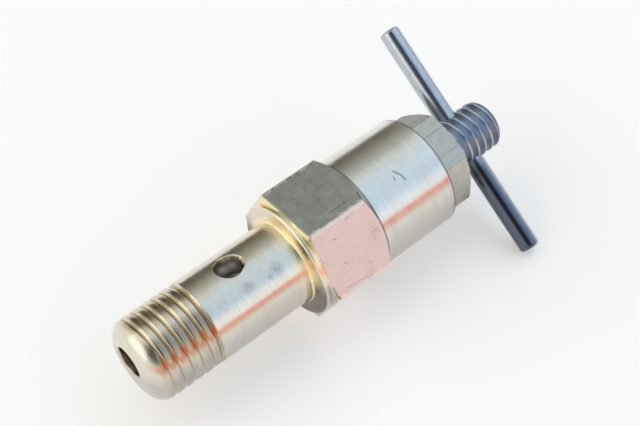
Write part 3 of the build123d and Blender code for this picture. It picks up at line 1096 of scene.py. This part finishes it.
def steel(name, c, across, along, rough, relief=0.008 * MM):
    """Bluish steel with fine streaks and soft stains, as (material, tree, shader, colour)."""
    material, tree, principled = shader(name, 1.0, rough)
    streak = put_group(tree, "Drawn streaks", Across=across, Along=along)
    spot = put_group(tree, "Grain and stains", Grain=8.0, Spread=0.6)
    tint = paint(tree, tuple(c.steel), (
        (range_of(tree, streak["Streak"], -0.3, 0.6), 1.0, c.steel_dark),
        (spot["Stain"], 0.3, c.steel_dark),
    ))
    uneven = range_of(tree, spot["Grain"], rough - 0.08, rough + 0.1)
    feed(tree, principled, {"Base Color": tint, "Roughness": uneven})
    add_bump(tree, principled, calc(tree, "ADD", spot["Grain"], streak["Streak"]), relief)
    return material, tree, principled, tint


def spindle_steel(s, c):
    """Steel that is darker on the thread, with its crests rubbed bright, darker on its end and with painted
    shade on one side, and plain on the stem below."""
    material, tree, principled, tint = steel("spindle steel", c, 0.8, 0.8, 0.36)
    x, radius, cos_t, sin_t = axis_place(tree)
    threaded = fade(tree, x, "spindle thread", s.spindle_thread_x / MM)
    rubbed = fade(tree, radius, "rubbed crest", SPINDLE_R / MM)
    # The thread's end darker, and painted shade on one side of the thread
    dark_end = times(tree, fade(tree, x, "dark end", SPINDLE_END_X / MM), 0.75)
    shaded_side = fade(tree, toward(tree, SHADED_SIDE_TURN, cos_t, sin_t), "shaded side")
    tint = paint(tree, tint, (
        (threaded, calc(tree, "SUBTRACT", 1.0, rubbed), c.steel_black),
        # Painted shade on one side, and a darker end
        (times(tree, threaded, calc(tree, "MAXIMUM", shaded_side, dark_end)), 0.85, c.steel_dark_end_and_shade),
        (threaded, rubbed, c.steel_rubbed),
    ))
    feed(tree, principled, {"Base Color": tint})
    return material


def bar_steel(s, c):
    """Bright steel, with painted shade on its half below the spindle, most on the side that faces the nut."""
    material, tree, principled, tint = steel("bar steel", c, 0.5, 3.0, 0.2, 0.003 * MM)
    place = object_place(tree)
    out = vector_calc(tree, "DOT_PRODUCT", place, Vector(bar_direction(s)) / MM)
    side = calc(tree, "MULTIPLY_ADD", parts_of(tree, place)[0], 1 / BAR_R, -BAR_X / BAR_R)
    inner = range_of(tree, fade(tree, side, "bar side"), 0.08, 0.92)
    # Painted shade on the lower half, most on the side that faces the nut
    tint = paint(tree, tint, [(fade(tree, out, "lower shade"), inner, c.steel_lower_shade)])
    feed(tree, principled, {"Base Color": tint})
    return material


def soft_packing(c):
    """Black packing with a fine grain."""
    material, tree, principled = shader("packing", 0.0, 0.8)
    spot = put_group(tree, "Grain and stains", Grain=5.0, Spread=0.5)
    feed(tree, principled, {"Base Color": blend(tree, spot["Grain"], c.packing, c.grime_and_shade)})
    add_bump(tree, principled, spot["Grain"], 0.05 * MM)
    return material


def dress(piece, *materials):
    """Puts those materials in a piece's slots."""
    piece.data.materials.clear()
    for material in materials:
        piece.data.materials.append(material)


# Studio

# The photograph's view: the collar's centre in pixels from the picture's, and the tap's turns
PICTURE_WIDTH_PX = 640
FOCAL_PX = 1250
PX_PER_MM = 7.15
COLLAR_RIGHT_PX, COLLAR_DOWN_PX = -34.61, 48.15
AXIS_RISE = math.radians(34.544)
AXIS_AWAY = math.radians(22.709)
TOP_FLAT_TURN = math.radians(-34.7)
SENSOR_MM = 36.0
CLIP_START = 0.005

# Sky by direction's Y, from the near side at 0 to the far side at 1
SKY = (
    (0.04, (1.10, 1.13, 1.13)),
    (0.08, (1.02, 1.13, 1.22)),
    (0.11, (0.87, 1.03, 1.22)),
    (0.16, (0.68, 0.87, 1.09)),
    (0.42, (0.70, 0.87, 1.05)),
    (0.60, (0.76, 0.84, 0.88)),
    (0.73, (0.52, 0.55, 0.51)),
    (0.84, (0.34, 0.35, 0.30)),
    (0.90, (0.25, 0.24, 0.19)),
    (0.95, (0.14, 0.13, 0.11)),
)
VIEWER_COLOUR = (0.06, 0.08, 0.11)
VIEWER_INNER = math.radians(16)
VIEWER_OUTER = math.radians(36)
LEFT_COLOUR = (0.92, 0.89, 0.80)
LEFT_FADE = (0.10, -0.30)
RIGHT_COLOUR = (0.38, 0.46, 0.56)
RIGHT_FADE = (0.60, 0.85)

# Red card that glows, a lamp seen only in the metal's reflections, paler up to a share of its height, in
# metres
CARD_COLOUR = (0.96, 0.34, 0.28)
CARD_FOOT_COLOUR = (0.80, 0.74, 0.66)
CARD_Y = -0.13
CARD_HALF = 0.35
CARD_TOP = 0.026
CARD_FOOT_SHARE = 0.7

FLOOR_HALF = 1.5
FLOOR_GLOW = 0.30
FLOOR_GLOW_TINT = (1.0, 0.96, 0.93)

# Soft lamps: name, place, width and height in metres, power in watts, tint
LAMP_AIM = (0.015, 0.0, 0.0)
LAMPS = (
    ("left softbox", (-0.42, 0.10, 0.27), (0.54, 0.44), 0.41, (0.93, 0.95, 0.97)),
    ("right softbox", (0.50, 0.02, 0.30), (0.50, 0.40), 0.3, (1.0, 0.98, 0.95)),
)


def camera_axes():
    """Right, up and forward of the camera in the tap's frame.
    In the picture the tap's axis rises by AXIS_RISE and points away by AXIS_AWAY, and its +Z is turned by
    TOP_FLAT_TURN round the axis from the side that faces the camera."""
    rise, away, turn = AXIS_RISE, AXIS_AWAY, TOP_FLAT_TURN
    axis = np.array([math.cos(rise) * math.cos(away), math.sin(rise) * math.cos(away), math.sin(away)])
    across = np.array([math.sin(rise), -math.cos(rise), 0.0])
    facing = np.cross(axis, across)
    up_z = math.cos(turn) * facing + math.sin(turn) * across
    side_y = math.sin(turn) * facing - math.cos(turn) * across
    return np.stack([axis, side_y, up_z], axis=1)


def add_camera(s):
    """Camera at the photograph's place."""
    right, up, forward = camera_axes()
    to_collar = COLLAR_RIGHT_PX * right - COLLAR_DOWN_PX * up + FOCAL_PX * forward
    data = bpy.data.cameras.new("camera")
    data.sensor_fit = "HORIZONTAL"
    data.sensor_width = SENSOR_MM
    data.lens = FOCAL_PX * SENSOR_MM / PICTURE_WIDTH_PX
    data.clip_start = CLIP_START
    camera = bpy.data.objects.new("camera", data)
    matrix = Matrix(np.stack([right, up, -forward], axis=1).tolist()).to_4x4()
    matrix.translation = Vector((s.collar_x, 0, 0)) - Vector(to_collar) * MM / PX_PER_MM
    camera.matrix_world = matrix
    bpy.context.scene.collection.objects.link(camera)
    bpy.context.scene.camera = camera


def add_world():
    """Soft surroundings that change from the far side, +Y, over the top to the near side, pale towards the
    spigot's end and bluer towards the handle's, with the dark of the viewer's side."""
    world = bpy.data.worlds.new("studio")
    bpy.context.scene.world = world
    world.use_nodes = True
    tree = world.node_tree
    background = tree.nodes["Background"]
    way = add_node(tree, "ShaderNodeTexCoord").outputs["Generated"]
    x, y, _ = parts_of(tree, way)
    sky = add_node(tree, "ShaderNodeValToRGB", (calc(tree, "MULTIPLY_ADD", y, 0.5, 0.5),))
    elements = sky.color_ramp.elements
    while len(elements) < len(SKY):
        elements.new(0.5)
    for element, (position, value) in zip(elements, SKY):
        element.position = position
        element.color = (*value, 1)
    facing = vector_calc(tree, "DOT_PRODUCT", way, tuple(-camera_axes()[2]))
    shade = paint(tree, sky.outputs[0], (
        (ramp(tree, x, *LEFT_FADE), 1.0, LEFT_COLOUR),
        (ramp(tree, x, *RIGHT_FADE), 1.0, RIGHT_COLOUR),
        (ramp(tree, facing, math.cos(VIEWER_OUTER), math.cos(VIEWER_INNER)), 1.0, VIEWER_COLOUR),
    ))
    tree.links.new(shade, background.inputs["Color"])
    background.inputs["Strength"].default_value = 1.0


def add_lamp(name, place, size, power, tint):
    """Rectangular soft lamp at place, turned to the tap."""
    data = bpy.data.lights.new(name, "AREA")
    data.shape = "RECTANGLE"
    data.size, data.size_y = size
    data.energy = power
    data.color = tint
    lamp = bpy.data.objects.new(name, data)
    lamp.location = place
    lamp.rotation_euler = (Vector(LAMP_AIM) - Vector(place)).to_track_quat("-Z", "Y").to_euler()
    lamp.visible_camera = False
    bpy.context.scene.collection.objects.link(lamp)


def add_sheet(name, corners, material):
    """A new object with one four-sided face, dressed in that material."""
    mesh = bpy.data.meshes.new(name)
    mesh.from_pydata(corners, [], [(0, 1, 2, 3)])
    sheet = add_piece(name, mesh)
    dress(sheet, material)
    return sheet


def add_glowing_card():
    """Low red card on the floor at the near side, paler to its foot, outside the picture. It glows by
    emission, a red light that only the metal mirrors."""
    material, tree, principled = shader("red glowing card", 0.0, 0.9)
    principled.inputs["Base Color"].default_value = (0, 0, 0, 1)
    height = parts_of(tree, object_place(tree))[2]
    above_foot = ramp(tree, height, FLOOR_Z, FLOOR_Z + CARD_FOOT_SHARE * (CARD_TOP - FLOOR_Z))
    feed(tree, principled, {"Emission Color": blend(tree, above_foot, CARD_FOOT_COLOUR, CARD_COLOUR)})
    principled.inputs["Emission Strength"].default_value = 1.0
    card = add_sheet("red_glowing_card", [
        (-CARD_HALF, CARD_Y, FLOOR_Z),
        (CARD_HALF, CARD_Y, FLOOR_Z),
        (CARD_HALF, CARD_Y, CARD_TOP),
        (-CARD_HALF, CARD_Y, CARD_TOP),
    ], material)
    card.visible_camera = False
    card.visible_diffuse = False
    card.visible_shadow = False


def add_floor(tint):
    """Pale plain floor under the tap."""
    material, tree, principled = shader("floor", 0.0, 0.9)
    principled.inputs["Base Color"].default_value = (*tint, 1)
    rays = add_node(tree, "ShaderNodeLightPath").outputs
    seen = calc(tree, "MAXIMUM", rays["Is Camera Ray"], rays["Is Glossy Ray"])
    seen = calc(tree, "MAXIMUM", seen, rays["Is Transmission Ray"])
    principled.inputs["Emission Color"].default_value = (*FLOOR_GLOW_TINT, 1)
    feed(tree, principled, {"Emission Strength": times(tree, seen, FLOOR_GLOW)})
    floor = add_sheet("floor", [
        (-FLOOR_HALF, -FLOOR_HALF, FLOOR_Z),
        (FLOOR_HALF, -FLOOR_HALF, FLOOR_Z),
        (FLOOR_HALF, FLOOR_HALF, FLOOR_Z),
        (-FLOOR_HALF, FLOOR_HALF, FLOOR_Z),
    ], material)


# Operators


class TAP_OT_body(bpy.types.Operator):
    """Make the turned body with its thread, hexagon, bores and port"""

    bl_idname = "tap.body"
    bl_label = "Body"

    def execute(self, context):
        s, c = context.scene.tap_sizes, context.scene.tap_colours
        piece = add_surface("turned_body", body_points(s, corner_angles(40, 0.0)), ring=True)
        tints = (c.bar_stock, c.bar_stock_dark, c.bar_stock_warm, c.bar_stock_dull)
        top = math.pi / 2
        flats = drawn_brass("drawn brass", c, tints, corner_radius(HEX_AF), top, 0.8, FLAT_STROKES)
        dress(piece, turned_brass(s, c), flats)
        mark_flats(piece, s)
        cut(piece, port_points(s))
        smooth(piece)
        settle(piece, "tap_body", "body")
        return {"FINISHED"}


class TAP_OT_gland_nut(bpy.types.Operator):
    """Make the gland nut with its threaded bore"""

    bl_idname = "tap.gland_nut"
    bl_label = "Gland nut"

    def execute(self, context):
        s, c = context.scene.tap_sizes, context.scene.tap_colours
        piece = add_surface("hex_gland_nut", nut_points(s, nut_angles(s)), ring=True)
        tints = (c.nut_stock, c.nut_stock_dark, c.nut_stock_warm, c.nut_stock_dull)
        dull_turn = s.nut_turn + HALF_SECTOR
        corner_r = corner_radius(s.nut_af)
        dress(piece, drawn_brass("nut brass", c, tints, corner_r, dull_turn, 0.2, seams_turn=s.nut_turn))
        smooth(piece)
        settle(piece, "tap_body", "gland_nut")
        return {"FINISHED"}


class TAP_OT_spindle(bpy.types.Operator):
    """Make the threaded spindle, drilled for the bar"""

    bl_idname = "tap.spindle"
    bl_label = "Spindle"

    def execute(self, context):
        s, c = context.scene.tap_sizes, context.scene.tap_colours
        piece = add_surface("threaded_spindle", spindle_points(s, even_angles(120)), ring=False)
        dress(piece, spindle_steel(s, c))
        hole_x = HOLE_REACH * SPINDLE_R * np.array([-1, 1])
        hole = turned([(hole_x, np.full(2, BAR_R + s.bar_gap))], even_angles(64))
        cut(piece, turned_to(hole, (BAR_X, 0, 0), bar_direction(s)))
        smooth(piece)
        settle(piece, "stem", "spindle")
        return {"FINISHED"}


class TAP_OT_tommy_bar(bpy.types.Operator):
    """Make the tommy bar"""

    bl_idname = "tap.tommy_bar"
    bl_label = "Tommy bar"

    def execute(self, context):
        s, c = context.scene.tap_sizes, context.scene.tap_colours
        points = turned_to(bar_points(s, even_angles(64)), (BAR_X, 0, 0), bar_direction(s))
        piece = add_surface("steel_bar", points, ring=False)
        dress(piece, bar_steel(s, c))
        smooth(piece)
        settle(piece, "stem", "tommy_bar")
        return {"FINISHED"}


class TAP_OT_inner_pieces(bpy.types.Operator):
    """Give the ball, the washers and the packing inside the body their finishes"""

    bl_idname = "tap.inner_pieces"
    bl_label = "Ball and packing"

    def execute(self, context):
        c = context.scene.tap_colours
        finishes = {
            "valve_ball": steel("ball steel", c, 0.6, 0.6, 0.15)[0],
            "packing_washer": washer_brass(c),
            "packing_ring": soft_packing(c),
        }
        finishes["packing_follower"] = finishes["packing_washer"]
        for node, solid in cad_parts.items():
            for start, material in finishes.items():
                if node.startswith(start):
                    solid.material_slots[0].material = material
        return {"FINISHED"}


class TAP_OT_stage(bpy.types.Operator):
    """Set up the floor, the light and the camera"""

    bl_idname = "tap.stage"
    bl_label = "Studio"

    def execute(self, context):
        context.scene.view_settings.view_transform = "Standard"
        add_floor(context.scene.tap_colours.floor)
        add_glowing_card()
        add_world()
        for lamp in LAMPS:
            add_lamp(*lamp)
        add_camera(context.scene.tap_sizes)
        return {"FINISHED"}


class TAP_PT_panel(bpy.types.Panel):
    """Lists the tap's pieces in the sidebar"""

    bl_label = "Fuel tap"
    bl_idname = "TAP_PT_panel"
    bl_space_type = "VIEW_3D"
    bl_region_type = "UI"
    bl_category = "Fuel tap"

    def draw(self, context):
        for step in STEPS:
            self.layout.operator(step.bl_idname)


STEPS = (TAP_OT_body, TAP_OT_gland_nut, TAP_OT_spindle, TAP_OT_tommy_bar, TAP_OT_inner_pieces, TAP_OT_stage)
CLASSES = (TapSizes, TapColours, *STEPS, TAP_PT_panel)


def register():
    for cls in CLASSES:
        bpy.utils.register_class(cls)
    bpy.types.Scene.tap_sizes = PointerProperty(type=TapSizes)
    bpy.types.Scene.tap_colours = PointerProperty(type=TapColours)


def unregister():
    del bpy.types.Scene.tap_colours
    del bpy.types.Scene.tap_sizes
    for cls in reversed(CLASSES):
        bpy.utils.unregister_class(cls)


def main():
    register()
    bpy.ops.tap.body()
    bpy.ops.tap.gland_nut()
    bpy.ops.tap.spindle()
    bpy.ops.tap.tommy_bar()
    bpy.ops.tap.inner_pieces()
    bpy.ops.tap.stage()


if __name__ == "__main__":
    main()
